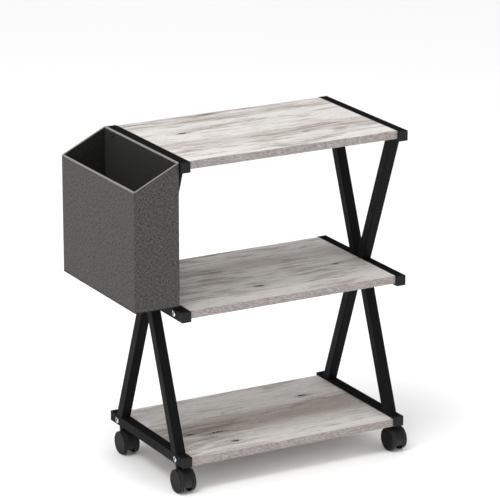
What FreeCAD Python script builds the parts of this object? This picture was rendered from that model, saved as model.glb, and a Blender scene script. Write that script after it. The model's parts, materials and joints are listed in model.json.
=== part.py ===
import FreeCAD, Part
import math
import os
import re

import Sketcher
from FreeCAD import Placement, Rotation, Vector

# Three-tier rolling stand. Two welded side frames of square tube carry three boards, with a storage
# bag on the left frame and a twin-wheel caster under each end of the bottom rails.
# Frame: +Z up, +X to the right, the front towards -Y, millimetres. The origin is on the floor, under
# the middle of the whole stand with its bag and casters.

doc = FreeCAD.newDocument("PrinterStand")

# ---------------------------------------------------------------- driving dimensions

SIZES = [
    ("frame_width", 480, "over the outer faces of the two side frames"),
    ("frame_depth", 300, "length of a rail with its plugs"),
    ("tier_pitch", 284, "from one rail to the rail above it"),
    ("caster_height", 52, "floor to the underside of the bottom rails"),
    ("tube", 20, "outside of the square tube"),
    ("tube_wall", 1.2, "wall of the square tube"),
    ("tube_corner", 1.6, "outer corner radius of the square tube"),
    ("leg_inset", 26, "rail end to the outer edge of a leg"),
    ("leg_gap", 3, "between the two legs that meet at the middle rail"),
    ("plug_head", 2, "thickness of a plug's head"),
    ("plug_insert", 12, "length of a plug inside the tube"),
    ("plug_fit", 0.1, "gap between a plug and the tube's inside"),
    ("plug_round", 0.8, "rounding of the plug's outer edges"),
    ("board", 15, "thickness of a board"),
    ("board_setback", 5, "rail end to the board's front edge"),
    ("board_drop", 5, "bottom board's top below its rail's top"),
    ("band", 0.6, "thickness of the edge banding"),
    ("bolt_place", 120, "board bolt from the middle of the rail"),
    ("bolt_rise", 11.5, "board bolt above the rail's underside, top and middle"),
    ("bolt_rise_low", 10, "board bolt above the rail's underside, bottom"),
    ("bolt_radius", 2.95, "M6 shank"),
    ("bolt_length", 40, "under the head, board bolts"),
    ("bag_bolt_length", 45, "under the head, bag bolts"),
    ("bolt_hole_radius", 3.3, "clearance hole in the tube"),
    ("head_radius", 6, "bolt head"),
    ("head_height", 2.4, "bolt head"),
    ("head_edge", 1.2, "straight edge of the bolt head"),
    ("socket_flats", 5, "hex socket across flats"),
    ("socket_depth", 2, "hex socket"),
    ("insert_radius", 4.2, "threaded insert outside"),
    ("insert_bore", 3, "threaded insert inside"),
    ("insert_length", 13, "threaded insert"),
    ("board_hole_depth", 23, "hole in a board's end"),
    ("caster_place", 116, "swivel axis from the middle of the rail"),
    ("trail", 16, "swivel axis to wheel axle"),
    ("wheel_radius", 22.5, "caster wheel"),
    ("wheel_width", 8, "one wheel of the pair"),
    ("wheel_rim", 3, "thickness of a wheel's rim and disc"),
    ("wheel_face", 0.5, "depth of the recess in a wheel's outer face"),
    ("wheel_round", 1.5, "rounding of the wheel's outer edge"),
    ("twin_width", 33, "over the outer faces of the two wheels"),
    ("hood_width", 16.4, "hood between the wheels"),
    ("hood_radius", 22, "hood about the axle"),
    ("hood_round", 0.8, "rounding of the hood's rims"),
    ("hood_wall", 2.2, "hood's curved wall"),
    ("hood_web", 3, "hood's middle web"),
    ("hood_mouth", 12.8, "height of the hood's lower edge above the floor"),
    ("hub_radius", 5, "axle boss and wheel hub"),
    ("boss_radius", 6.8, "stem boss"),
    ("neck_radius", 7.2, "collar of the hood under the rail"),
    ("neck_base", 46.5, "height of the collar's lower edge above the floor"),
    ("neck_top", 48.4, "height of the hood's top above the floor"),
    ("axle_radius", 2.5, "caster axle"),
    ("axle_length", 27, "caster axle"),
    ("running_fit", 0.05, "radial gap of every turning fit"),
    ("stem_radius", 4, "M8 stem"),
    ("stem_foot", 17, "height of the stem's lower end above the floor"),
    ("stem_engage", 6.5, "length of the stem's thread in the rail, below the board bolt"),
    ("stem_flats", 13, "stem's hexagon across flats"),
    ("stem_gap", 0.3, "hood to the stem's hexagon"),
    ("nut_radius", 5.5, "rivet nut's body"),
    ("nut_flange", 0.8, "rivet nut's flange"),
    ("nut_flange_radius", 7, "rivet nut's flange"),
    ("nut_bulge_radius", 6.6, "rivet nut's crimped bulge"),
    ("nut_bulge", 1.8, "height of the rivet nut's crimped bulge"),
    ("nut_length", 6.8, "rivet nut inside the tube, below the board bolt"),
    ("bag_depth", 92, "bag across, from the side frame outwards"),
    ("bag_length", 298, "bag from front to back"),
    ("bag_middle", 6, "bag's middle behind the middle of the rail"),
    ("bag_base", 366.5, "height of the bag's underside above the floor"),
    ("bag_inner_top", 640, "height of the bag's inner wall above the floor"),
    ("bag_outer_top", 595, "height of the bag's outer wall above the floor"),
    ("bag_gap", 0.1, "bag to the side frame"),
    ("fabric", 0.9, "outer fabric"),
    ("panel", 1.5, "stiffener panel"),
    ("lining", 0.6, "lining"),
    ("layer_gap", 0.05, "between the bag's layers"),
    ("rim", 1.3, "height of the rim binding"),
    ("eyelet_bore", 3.2, "eyelet inside"),
    ("eyelet_radius", 3.9, "eyelet barrel"),
    ("eyelet_flange_radius", 5.4, "eyelet flange"),
    ("eyelet_flange", 0.5, "eyelet flange"),
]

sheet = doc.addObject("Spreadsheet::Sheet", "Sizes")
for row, (alias, size, meaning) in enumerate(SIZES, start=1):
    sheet.set("A%d" % row, meaning)
    sheet.set("B%d" % row, str(size))
    sheet.setAlias("B%d" % row, alias)
doc.recompute()


def size(alias):
    """The sheet's value of one driving dimension."""
    return float(getattr(sheet, alias))


def add_derived(alias, value, meaning):
    """Puts a dimension worked out from the others into the sheet, as one more named cell."""
    row = len(SIZES) + 1
    SIZES.append((alias, value, meaning))
    sheet.set("A%d" % row, meaning)
    sheet.set("B%d" % row, repr(round(value, 6)))
    sheet.setAlias("B%d" % row, alias)


def leg_lean():
    """Angle of a leg from the vertical, which makes both its ends land where the rails want them."""
    rise = size("tier_pitch") - size("tube")
    reach = size("frame_depth") / 2 - size("leg_inset") - size("leg_gap") / 2
    return math.acos(size("tube") / math.hypot(reach, rise)) - math.atan2(rise, reach)


lean = leg_lean()
leg_foot = size("tube") / math.cos(lean)
leg_run = size("frame_depth") / 2 - size("leg_inset") - size("leg_gap") / 2 - leg_foot
left_reach = size("frame_width") / 2 + size("bag_depth")
right_reach = (size("frame_width") - size("tube") + size("twin_width")) / 2
front_reach = size("caster_place") + size("trail") + size("wheel_radius")
back_reach = size("bag_middle") + size("bag_length") / 2
add_derived("leg_foot", leg_foot, "leg's width, measured level")
add_derived("leg_wall", size("tube_wall") / math.cos(lean), "leg's wall, measured level")
add_derived("leg_run", leg_run, "how far a leg's foot and head are apart, level")
add_derived("stand_x", (left_reach - right_reach) / 2, "middle of the side frames in X")
add_derived("stand_y", (front_reach - back_reach) / 2, "middle of the side frames in Y")
doc.recompute()


# ---------------------------------------------------------------- modelling helpers

def of(expression):
    """Writes the dimension names in an expression as the sheet's cells."""
    named = "|".join(alias for alias, _, _ in SIZES)
    return re.sub(r"\b(%s)\b" % named, r"Sizes.\1", expression)


def bind(target, prop, expression):
    """Binds one property of an object to the sheet."""
    target.setExpression(prop, of(expression))


def new_body(label):
    """One sub-part, named as its file will be."""
    body = doc.addObject("PartDesign::Body", "Body")
    body.Label = label
    body.AllowCompound = True
    return body


def place(body, x, y, z, turn=0):
    """Puts a sub-part at x, y of the side frames' middle and z above the floor, turned about +Z."""
    body.Placement = Placement(Vector(0, 0, 0), Rotation(Vector(0, 0, 1), turn))
    bind(body, "Placement.Base.x", "stand_x + " + x)
    bind(body, "Placement.Base.y", "stand_y + " + y)
    bind(body, "Placement.Base.z", z)


def new_sketch(body, plane, offset="0"):
    """A sketch on one of the body's own origin planes, moved along the plane's normal by offset."""
    sketch = body.newObject("Sketcher::SketchObject", "Sketch")
    role = plane + "_Plane"
    origin_plane = next(p for p in body.Origin.OriginFeatures if p.Role == role)
    sketch.AttachmentSupport = [(origin_plane, "")]
    sketch.MapMode = "FlatFace"
    bind(sketch, "AttachmentOffset.Base.z", offset)
    return sketch


def pin_point(sketch, geometry, point, x, y):
    """Holds one point of a sketch at x, y from the sketch's origin."""
    for kind, expression in (("DistanceX", x), ("DistanceY", y)):
        value = sketch.evalExpression(of(expression))
        index = sketch.addConstraint(
            Sketcher.Constraint(kind, -1, 1, geometry, point, float(value))
        )
        sketch.setExpression("Constraints[%d]" % index, of(expression))


def polygon(sketch, corners):
    """A closed outline of straight lines through corners, each a pair of expressions."""
    points = []
    for x, y in corners:
        u = float(sketch.evalExpression(of(x)))
        v = float(sketch.evalExpression(of(y)))
        points.append(Vector(u, v, 0))
    first = sketch.GeometryCount
    count = len(points)
    for i in range(count):
        sketch.addGeometry(Part.LineSegment(points[i], points[(i + 1) % count]), False)
    for i in range(count):
        following = first + (i + 1) % count
        sketch.addConstraint(Sketcher.Constraint("Coincident", first + i, 2, following, 1))
    for i, (x, y) in enumerate(corners):
        pin_point(sketch, first + i, 1, x, y)


def rectangle(sketch, left, bottom, right, top):
    """A closed rectangle between two corners."""
    polygon(sketch, [(left, bottom), (right, bottom), (right, top), (left, top)])


def circle(sketch, x, y, radius):
    """A circle about x, y."""
    centre = Vector(
        float(sketch.evalExpression(of(x))), float(sketch.evalExpression(of(y))), 0
    )
    start_radius = float(sketch.evalExpression(of(radius)))
    index = sketch.addGeometry(Part.Circle(centre, Vector(0, 0, 1), start_radius), False)
    pin_point(sketch, index, 3, x, y)
    held = sketch.addConstraint(Sketcher.Constraint("Radius", index, start_radius))
    sketch.setExpression("Constraints[%d]" % held, of(radius))


def hexagon(sketch, across_flats):
    """A regular hexagon about the sketch's origin."""
    corners = []
    for corner in range(6):
        angle = "%d deg" % (60 * corner)
        reach = "%s / 2 / cos( 30 deg ) " % across_flats
        corners.append((reach + "* cos( %s )" % angle, reach + "* sin( %s )" % angle))
    polygon(sketch, corners)


def pad(body, sketch, length, both_ways=False, backwards=False):
    """Grows the sketch's outline by length."""
    feature = body.newObject("PartDesign::Pad", "Pad")
    feature.Profile = sketch
    feature.Midplane = both_ways
    feature.Reversed = backwards
    bind(feature, "Length", length)
    doc.recompute()
    return feature


def pocket(body, sketch, length, both_ways=False, backwards=False):
    """Cuts the sketch's outline out of the body, and stops if nothing was cut."""
    before = body.Shape.Volume
    feature = body.newObject("PartDesign::Pocket", "Pocket")
    feature.Profile = sketch
    feature.Midplane = both_ways
    feature.Reversed = backwards
    bind(feature, "Length", length)
    doc.recompute()
    if body.Shape.Volume > before - 1e-3:
        raise RuntimeError("a pocket of %s cut nothing" % body.Label)
    return feature


def revolve(body, sketch, axis="V_Axis"):
    """Turns the sketch's outline right round one of the sketch's axes."""
    feature = body.newObject("PartDesign::Revolution", "Revolution")
    feature.Profile = sketch
    feature.ReferenceAxis = (sketch, [axis])
    feature.Angle = 360
    doc.recompute()
    return feature


def edges_where(shape, wanted):
    """Names of the shape's edges that the test accepts."""
    return ["Edge%d" % i for i, edge in enumerate(shape.Edges, start=1) if wanted(edge)]


def round_edges(body, base, wanted, radius):
    """Rounds the edges of base that the test accepts."""
    feature = body.newObject("PartDesign::Fillet", "Fillet")
    feature.Base = (base, edges_where(base.Shape, wanted))
    bind(feature, "Radius", radius)
    doc.recompute()
    return feature


def mirror(body, feature, plane):
    """Repeats one feature on the other side of one of the body's origin planes."""
    before = body.Shape.Volume
    role = plane + "_Plane"
    origin_plane = next(p for p in body.Origin.OriginFeatures if p.Role == role)
    mirrored = body.newObject("PartDesign::Mirrored", "Mirrored")
    mirrored.Originals = [feature]
    mirrored.MirrorPlane = (origin_plane, [""])
    body.Tip = mirrored
    doc.recompute()
    if abs(body.Shape.Volume - before) < 1e-3:
        raise RuntimeError("a mirrored feature of %s changed nothing" % body.Label)
    return mirrored


def group(label, piece, places):
    """One node of identical separate pieces: links to one piece, gathered in a compound.
    Each place is x, y from the side frames' middle, z above the floor, and a turn about +Z."""
    links = []
    for x, y, z, turn in places:
        link = doc.addObject("App::Link", "Copy")
        link.LinkedObject = piece
        link.LinkTransform = False
        link.Placement = Placement(Vector(0, 0, 0), Rotation(Vector(0, 0, 1), turn))
        bind(link, "Placement.Base.x", "stand_x + " + x)
        bind(link, "Placement.Base.y", "stand_y + " + y)
        bind(link, "Placement.Base.z", z)
        links.append(link)
    gathered = doc.addObject("Part::Compound", "Group")
    gathered.Links = links
    gathered.Label = label
    return gathered


nodes = []
SIDES = {"left": -1, "right": 1}
ENDS = {"front": -1, "back": 1}
TIERS = {"bottom": 0, "middle": 1, "top": 2}
RAIL_X = "( frame_width - tube ) / 2"


def signed(sign, expression):
    """The expression, or its negative."""
    return "%d * ( %s )" % (sign, expression)


def tier_base(tier):
    """Height of the underside of one tier's rails above the floor."""
    return "caster_height + %d * tier_pitch" % TIERS[tier]


def bolt_height(tier):
    """Height of one tier's board bolts above the floor."""
    rise = "bolt_rise_low" if tier == "bottom" else "bolt_rise"
    return tier_base(tier) + " + " + rise


# ---------------------------------------------------------------- side frames

def rail(side, tier):
    """A level square tube from front to back, with its cross holes for the board bolts."""
    body = new_body("%s_%s_rail" % (side, tier))
    outline = new_sketch(body, "XZ")
    rectangle(outline, "-tube / 2", "-tube / 2", "tube / 2", "tube / 2")
    rectangle(
        outline,
        "-tube / 2 + tube_wall",
        "-tube / 2 + tube_wall",
        "tube / 2 - tube_wall",
        "tube / 2 - tube_wall",
    )
    tube = pad(body, outline, "frame_depth - 2 * plug_head", both_ways=True)
    half = size("tube") / 2

    def outer_corner(edge):
        middle = edge.CenterOfMass
        return abs(abs(middle.x) - half) < 1e-6 and abs(abs(middle.z) - half) < 1e-6

    round_edges(body, tube, outer_corner, "tube_corner")
    holes = new_sketch(body, "YZ")
    rise = "bolt_rise_low" if tier == "bottom" else "bolt_rise"
    for end in ENDS.values():
        circle(holes, signed(end, "bolt_place"), rise + " - tube / 2", "bolt_hole_radius")
    pocket(body, holes, "tube + 2", both_ways=True)
    if tier == "bottom":
        nut_holes = new_sketch(body, "XY")
        for end in ENDS.values():
            circle(nut_holes, "0", signed(end, "caster_place"), "nut_radius")
        pocket(body, nut_holes, "tube")
    place(body, signed(SIDES[side], RAIL_X), "0", tier_base(tier) + " + tube / 2")
    return body


def leg(side, level, end):
    """A leaning square tube between two rails, its ends cut level to sit on them.
    The lower pair leans together towards the middle rail, and the upper pair leans apart above it."""
    body = new_body("%s_%s_%s_leg" % (side, level, end))
    rise = "( tier_pitch - tube )"
    leans_back = (level == "lower") == (end == "front")
    run = signed(1 if leans_back else -1, "leg_run")
    outline = new_sketch(body, "YZ")
    polygon(outline, [("0", "0"), ("leg_foot", "0"), (run + " + leg_foot", rise), (run, rise)])
    solid = pad(body, outline, "tube", both_ways=True)
    half = size("tube") / 2
    reach = math.hypot(size("leg_run"), size("tier_pitch") - size("tube"))

    def long_edge(edge):
        return abs(edge.Length - reach) < 1e-3 and abs(abs(edge.CenterOfMass.x) - half) < 1e-6

    round_edges(body, solid, long_edge, "tube_corner")
    hollow = new_sketch(body, "YZ")
    inner = "leg_foot - leg_wall"
    polygon(
        hollow,
        [("leg_wall", "0"), (inner, "0"), (run + " + " + inner, rise), (run + " + leg_wall", rise)],
    )
    pocket(body, hollow, "tube - 2 * tube_wall", both_ways=True)
    outside = "frame_depth / 2 - leg_inset"
    if level == "lower":
        foot = "-( %s )" % outside if end == "front" else outside + " - leg_foot"
        base = tier_base("bottom") + " + tube"
    else:
        foot = "-leg_gap / 2 - leg_foot" if end == "front" else "leg_gap / 2"
        base = tier_base("middle") + " + tube"
    place(body, signed(SIDES[side], RAIL_X), foot, base)
    return body


def end_plug():
    """A square plug for a rail's end: a head as big as the tube and a block that fits inside it."""
    body = new_body("end_plug")
    head = new_sketch(body, "XZ")
    rectangle(head, "-tube / 2", "-tube / 2", "tube / 2", "tube / 2")
    block = pad(body, head, "plug_head")
    front = block.Shape.BoundBox.YMin

    def front_or_corner(edge):
        on_front = abs(edge.CenterOfMass.y - front) < 1e-6
        across = edge.BoundBox.YLength > size("plug_head") / 2
        return on_front or across

    round_edges(body, block, front_or_corner, "plug_round")
    shank = new_sketch(body, "XZ")
    inside = "tube / 2 - tube_wall - plug_fit"
    rectangle(shank, "-( %s )" % inside, "-( %s )" % inside, inside, inside)
    pad(body, shank, "plug_insert", backwards=True)
    return body


for side_name in SIDES:
    for tier_name in TIERS:
        nodes.append(rail(side_name, tier_name))
    for level_name in ("lower", "upper"):
        for end_name in ENDS:
            nodes.append(leg(side_name, level_name, end_name))

plug = end_plug()
for side_name, side_sign in SIDES.items():
    plug_places = []
    for tier_name in TIERS:
        for end_sign in ENDS.values():
            plug_y = signed(end_sign, "frame_depth / 2 - plug_head")
            plug_z = tier_base(tier_name) + " + tube / 2"
            plug_turn = 0 if end_sign < 0 else 180
            plug_places.append((signed(side_sign, RAIL_X), plug_y, plug_z, plug_turn))
    nodes.append(group(side_name + "_rail_end_plugs", plug, plug_places))


# ---------------------------------------------------------------- boards and their fixings

def board_base(tier):
    """Height of the underside of one tier's board above the floor."""
    drop = " - board_drop" if tier == "bottom" else ""
    return tier_base(tier) + " + tube - board" + drop


def drill_board_ends(body, tier, faces, depth):
    """Bores both ends of a board, or of its banding, for the threaded inserts."""
    holes = new_sketch(body, "YZ", faces)
    rise = bolt_height(tier) + " - ( " + board_base(tier) + " )"
    for end in ENDS.values():
        circle(holes, signed(end, "bolt_place"), rise, "insert_radius")
    mirror(body, pocket(body, holes, depth), "YZ")


def shelf_board(tier):
    """A flat board between the side frames, with its insert holes in both ends."""
    body = new_body(tier + "_shelf_board")
    outline = new_sketch(body, "XY")
    half_x = "( frame_width / 2 - tube - band )"
    half_y = "( frame_depth / 2 - board_setback - band )"
    rectangle(outline, "-" + half_x, "-" + half_y, half_x, half_y)
    pad(body, outline, "board")
    drill_board_ends(body, tier, half_x, "board_hole_depth - band")
    place(body, "0", "0", board_base(tier))
    return body


def edge_banding(tier):
    """The thin band round all four edges of a board."""
    body = new_body(tier + "_shelf_edge_banding")
    outline = new_sketch(body, "XY")
    half_x = "( frame_width / 2 - tube )"
    half_y = "( frame_depth / 2 - board_setback )"
    rectangle(outline, "-" + half_x, "-" + half_y, half_x, half_y)
    rectangle(
        outline,
        "-" + half_x + " + band",
        "-" + half_y + " + band",
        half_x + " - band",
        half_y + " - band",
    )
    pad(body, outline, "board")
    drill_board_ends(body, tier, half_x, "band")
    place(body, "0", "0", board_base(tier))
    return body


def head_bolt(label, length):
    """A low-headed socket bolt with its axis along +X from under the head, which is on the -X side."""
    body = new_body(label)
    profile = new_sketch(body, "XZ")
    polygon(
        profile,
        [
            ("-head_height", "0"),
            ("-head_height", "head_radius * 0.55"),
            ("-head_height * 0.82", "head_radius * 0.78"),
            ("-head_edge", "head_radius"),
            ("0", "head_radius"),
            ("0", "bolt_radius"),
            (length + " - 0.6", "bolt_radius"),
            (length, "bolt_radius - 0.6"),
            (length, "0"),
        ],
    )
    revolve(body, profile, "H_Axis")
    socket = new_sketch(body, "YZ", "-head_height")
    hexagon(socket, "socket_flats")
    pocket(body, socket, "socket_depth", backwards=True)
    return body


def insert_nut():
    """A threaded sleeve with a knurl-sized body, its axis along +X from the board's end."""
    body = new_body("insert_nut")
    profile = new_sketch(body, "XZ")
    rectangle(profile, "0", "insert_bore", "insert_length", "insert_radius")
    revolve(body, profile, "H_Axis")
    return body


board_bolt = head_bolt("board_bolt", "bolt_length")
insert = insert_nut()
for tier_name in TIERS:
    nodes.append(shelf_board(tier_name))
    nodes.append(edge_banding(tier_name))
    bolt_places = []
    insert_places = []
    for side_sign in SIDES.values():
        for end_sign in ENDS.values():
            turn = 0 if side_sign < 0 else 180
            bolt_y = signed(end_sign, "bolt_place")
            insert_x = signed(side_sign, "frame_width / 2 - tube")
            insert_places.append((insert_x, bolt_y, bolt_height(tier_name), turn))
            if tier_name != "top" or side_sign > 0:
                bolt_x = signed(side_sign, "frame_width / 2")
                bolt_places.append((bolt_x, bolt_y, bolt_height(tier_name), turn))
    nodes.append(group(tier_name + "_shelf_bolts", board_bolt, bolt_places))
    nodes.append(group(tier_name + "_shelf_insert_nuts", insert, insert_places))


# ---------------------------------------------------------------- casters

def rivet_nut():
    """A crimped threaded sleeve in the rail's lower wall, standing on the rail's underside."""
    body = new_body("rivet_nut")
    profile = new_sketch(body, "XZ")
    polygon(
        profile,
        [
            ("stem_radius", "-nut_flange"),
            ("nut_flange_radius", "-nut_flange"),
            ("nut_flange_radius", "0"),
            ("nut_radius", "0"),
            ("nut_radius", "tube_wall"),
            ("nut_bulge_radius", "tube_wall"),
            ("nut_bulge_radius", "tube_wall + nut_bulge / 2"),
            ("nut_radius", "tube_wall + nut_bulge"),
            ("nut_radius", "nut_length"),
            ("stem_radius", "nut_length"),
        ],
    )
    revolve(body, profile)
    return body


def caster_stem(corner, x, y):
    """The steel stem: a thread into the rivet nut, a hexagon under it, and a plain pin in the hood."""
    body = new_body(corner + "_caster_stem")
    flange = "caster_height - nut_flange"
    profile = new_sketch(body, "XZ")
    polygon(
        profile,
        [
            ("0", "stem_foot"),
            ("stem_radius - 0.6", "stem_foot"),
            ("stem_radius", "stem_foot + 0.6"),
            ("stem_radius", "caster_height + stem_engage - 0.8"),
            ("stem_radius - 0.8", "caster_height + stem_engage"),
            ("0", "caster_height + stem_engage"),
        ],
    )
    revolve(body, profile)
    nut = new_sketch(body, "XY", "neck_top + stem_gap")
    hexagon(nut, "stem_flats")
    pad(body, nut, flange + " - neck_top - stem_gap")
    place(body, x, y, "0")
    return body


def caster_hood(corner, x, y):
    """The moulded hood between the two wheels, with the boss and collar that turn on the stem."""
    body = new_body(corner + "_caster_hood")
    drum_outline = new_sketch(body, "YZ")
    circle(drum_outline, "-trail", "wheel_radius", "hood_radius")
    drum = pad(body, drum_outline, "hood_width", both_ways=True)
    round_edges(body, drum, lambda edge: edge.Length > 50, "hood_round")
    sides = new_sketch(body, "YZ", "hood_web / 2")
    circle(sides, "-trail", "wheel_radius", "hood_radius - hood_wall")
    circle(sides, "-trail", "wheel_radius", "hub_radius")
    mirror(body, pocket(body, sides, "hood_width", backwards=True), "YZ")
    mouth = new_sketch(body, "YZ")
    rectangle(
        mouth,
        "-trail - wheel_radius - 2",
        "-1",
        "-trail + wheel_radius + 2",
        "hood_mouth",
    )
    pocket(body, mouth, "hood_width + 2", both_ways=True)
    boss = new_sketch(body, "XZ")
    polygon(
        boss,
        [
            ("0", "hood_mouth + 1"),
            ("boss_radius", "hood_mouth + 1"),
            ("boss_radius", "neck_base - 0.6"),
            ("neck_radius", "neck_base"),
            ("neck_radius", "neck_top - 1"),
            ("neck_radius - 1", "neck_top"),
            ("0", "neck_top"),
        ],
    )
    revolve(body, boss)
    bore = new_sketch(body, "XY", "neck_top")
    circle(bore, "0", "0", "stem_radius + running_fit")
    pocket(body, bore, "neck_top - stem_foot + 1")
    axle_bore = new_sketch(body, "YZ")
    circle(axle_bore, "-trail", "wheel_radius", "axle_radius")
    pocket(body, axle_bore, "hood_width + 2", both_ways=True)
    place(body, x, y, "0")
    return body


def caster_axle(corner, x, y):
    """The steel pin through the hood that carries both wheels."""
    body = new_body(corner + "_caster_axle")
    profile = new_sketch(body, "XZ")
    half = "axle_length / 2"
    polygon(
        profile,
        [
            ("-" + half, "0"),
            ("-" + half, "axle_radius - 0.5"),
            ("-" + half + " + 0.5", "axle_radius"),
            (half + " - 0.5", "axle_radius"),
            (half, "axle_radius - 0.5"),
            (half, "0"),
        ],
    )
    revolve(body, profile, "H_Axis")
    place(body, x, y + " - trail", "wheel_radius")
    return body


def caster_wheel(corner, which, x, y, turn):
    """A moulded wheel, open towards the hood, with a hub round a blind bore and a rimmed outer face.
    It is drawn with its outer face towards +X and turned about +Z for the other side."""
    body = new_body("%s_caster_%s_wheel" % (corner, which))
    profile = new_sketch(body, "XZ")
    bore = "axle_radius + running_fit"
    disc = "wheel_width - wheel_face - wheel_rim"
    face = "wheel_width - wheel_face"
    polygon(
        profile,
        [
            ("0", bore),
            ("0", "hub_radius"),
            (disc, "hub_radius"),
            (disc, "wheel_radius - wheel_rim"),
            ("0", "wheel_radius - wheel_rim"),
            ("0", "wheel_radius"),
            ("wheel_width", "wheel_radius"),
            ("wheel_width", "wheel_radius - wheel_rim"),
            (face, "wheel_radius - wheel_rim - wheel_face"),
            (face, "0"),
            (disc + " + 0.8", "0"),
            (disc + " + 0.8", bore),
        ],
    )
    wheel = revolve(body, profile, "H_Axis")
    width = size("wheel_width")
    rim = 2 * math.pi * size("wheel_radius")

    def outer_edge(edge):
        return abs(edge.CenterOfMass.x - width) < 1e-6 and abs(edge.Length - rim) < 1e-3

    round_edges(body, wheel, outer_edge, "wheel_round")
    out = "( twin_width / 2 - wheel_width )"
    shift = out if turn == 0 else "-" + out
    place(body, x + " + " + shift, y + " - trail", "wheel_radius", turn)
    return body


nut_places = []
nut_piece = rivet_nut()
for side_name, side_sign in SIDES.items():
    for end_name, end_sign in ENDS.items():
        corner_name = end_name + "_" + side_name
        swivel_x = signed(side_sign, RAIL_X)
        swivel_y = signed(end_sign, "caster_place")
        nut_places.append((swivel_x, swivel_y, tier_base("bottom"), 0))
        nodes.append(caster_stem(corner_name, swivel_x, swivel_y))
        nodes.append(caster_hood(corner_name, swivel_x, swivel_y))
        nodes.append(caster_axle(corner_name, swivel_x, swivel_y))
        outer_turn = 180 if side_sign < 0 else 0
        nodes.append(caster_wheel(corner_name, "outer", swivel_x, swivel_y, outer_turn))
        nodes.append(caster_wheel(corner_name, "inner", swivel_x, swivel_y, 180 - outer_turn))
nodes.append(group("caster_rivet_nuts", nut_piece, nut_places))


# ---------------------------------------------------------------- storage bag
# The bag's own frame: x = 0 on its inner face, growing negative outwards, y = 0 at its middle, z = 0 at
# the floor. Its layers, from the outside in, are fabric, stiffener panels and lining.

INSIDE_FABRIC = "( fabric + layer_gap )"
INSIDE_PANEL = "( fabric + 2 * layer_gap + panel )"
BAG_WALL = "( fabric + 2 * layer_gap + panel + lining )"
BAG_SLOPE = "( bag_inner_top - bag_outer_top ) / bag_depth"


def bag_profile(sketch, inset, drop):
    """The bag seen from its end, set in from its inner, outer and bottom faces by inset. The sloping
    top is lowered by drop, and keeps the slope of the bag's rim."""
    top_in = "bag_inner_top - %s - %s * %s" % (drop, inset, BAG_SLOPE)
    top_out = "bag_outer_top - %s + %s * %s" % (drop, inset, BAG_SLOPE)
    base = "bag_base + " + inset
    polygon(
        sketch,
        [
            ("-" + inset, base),
            ("-" + inset, top_in),
            ("-bag_depth + " + inset, top_out),
            ("-bag_depth + " + inset, base),
        ],
    )


def place_bag(body, y="0"):
    """Hangs a piece of the bag on the left side frame."""
    place(body, "-frame_width / 2 - bag_gap", "bag_middle + " + y, "0")


def eyelet_holes(body, radius):
    """Cuts the two holes for the bag's bolts through its inner wall."""
    holes = new_sketch(body, "YZ", "1")
    for end in ENDS.values():
        circle(holes, signed(end, "bolt_place") + " - bag_middle", bolt_height("top"), radius)
    pocket(body, holes, BAG_WALL + " + 2")


def open_box(label, outer, inner):
    """One fabric layer of the bag: the space between two insets, open at the top."""
    body = new_body(label)
    outline = new_sketch(body, "XZ")
    bag_profile(outline, outer, "rim")
    pad(body, outline, "bag_length - 2 * " + outer, both_ways=True)
    hollow = new_sketch(body, "XZ")
    rectangle(hollow, "-bag_depth + " + inner, "bag_base + " + inner, "-" + inner, "bag_inner_top + 5")
    pocket(body, hollow, "bag_length - 2 * " + inner, both_ways=True)
    eyelet_holes(body, "eyelet_radius")
    place_bag(body)
    return body


def end_panel(label, sign):
    """The stiffener in the bag's front or back wall."""
    body = new_body(label)
    outline = new_sketch(body, "XZ")
    bag_profile(outline, INSIDE_FABRIC, "rim")
    pad(body, outline, "panel", both_ways=True)
    place_bag(body, signed(sign, "bag_length / 2 - %s - panel / 2" % INSIDE_FABRIC))
    return body


def long_panel(label, corners, holes=False):
    """A stiffener that runs from one end panel to the other."""
    body = new_body(label)
    outline = new_sketch(body, "XZ")
    polygon(outline, corners)
    pad(body, outline, "bag_length - 2 * " + INSIDE_PANEL, both_ways=True)
    if holes:
        eyelet_holes(body, "eyelet_radius")
    place_bag(body)
    return body


def rim_binding():
    """The folded binding along the bag's sloping rim."""
    body = new_body("bag_rim_binding")
    outline = new_sketch(body, "XZ")
    polygon(
        outline,
        [
            ("0", "bag_inner_top - rim"),
            ("0", "bag_inner_top"),
            ("-bag_depth", "bag_outer_top"),
            ("-bag_depth", "bag_outer_top - rim"),
        ],
    )
    pad(body, outline, "bag_length", both_ways=True)
    opening = new_sketch(body, "XZ")
    rectangle(opening, "-bag_depth + " + BAG_WALL, "bag_base", "-" + BAG_WALL, "bag_inner_top + 5")
    pocket(body, opening, "bag_length - 2 * " + BAG_WALL, both_ways=True)
    place_bag(body)
    return body


def eyelet():
    """A metal eyelet through the bag's inner wall, its axis along +X, its flange on the -X side."""
    body = new_body("eyelet")
    profile = new_sketch(body, "XZ")
    polygon(
        profile,
        [
            ("-eyelet_flange", "eyelet_bore"),
            ("-eyelet_flange", "eyelet_flange_radius"),
            ("0", "eyelet_flange_radius"),
            ("0", "eyelet_radius"),
            (BAG_WALL, "eyelet_radius"),
            (BAG_WALL, "eyelet_bore"),
        ],
    )
    revolve(body, profile, "H_Axis")
    return body


def wall_corners(near, base):
    """Corners of an upright panel whose inner-side face is near from the bag's inner face."""
    far = near + " + panel"
    return [
        ("-( %s )" % near, base),
        ("-( %s )" % near, "bag_inner_top - rim - ( %s ) * %s" % (near, BAG_SLOPE)),
        ("-( %s )" % far, "bag_inner_top - rim - ( %s ) * %s" % (far, BAG_SLOPE)),
        ("-( %s )" % far, base),
    ]


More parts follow.
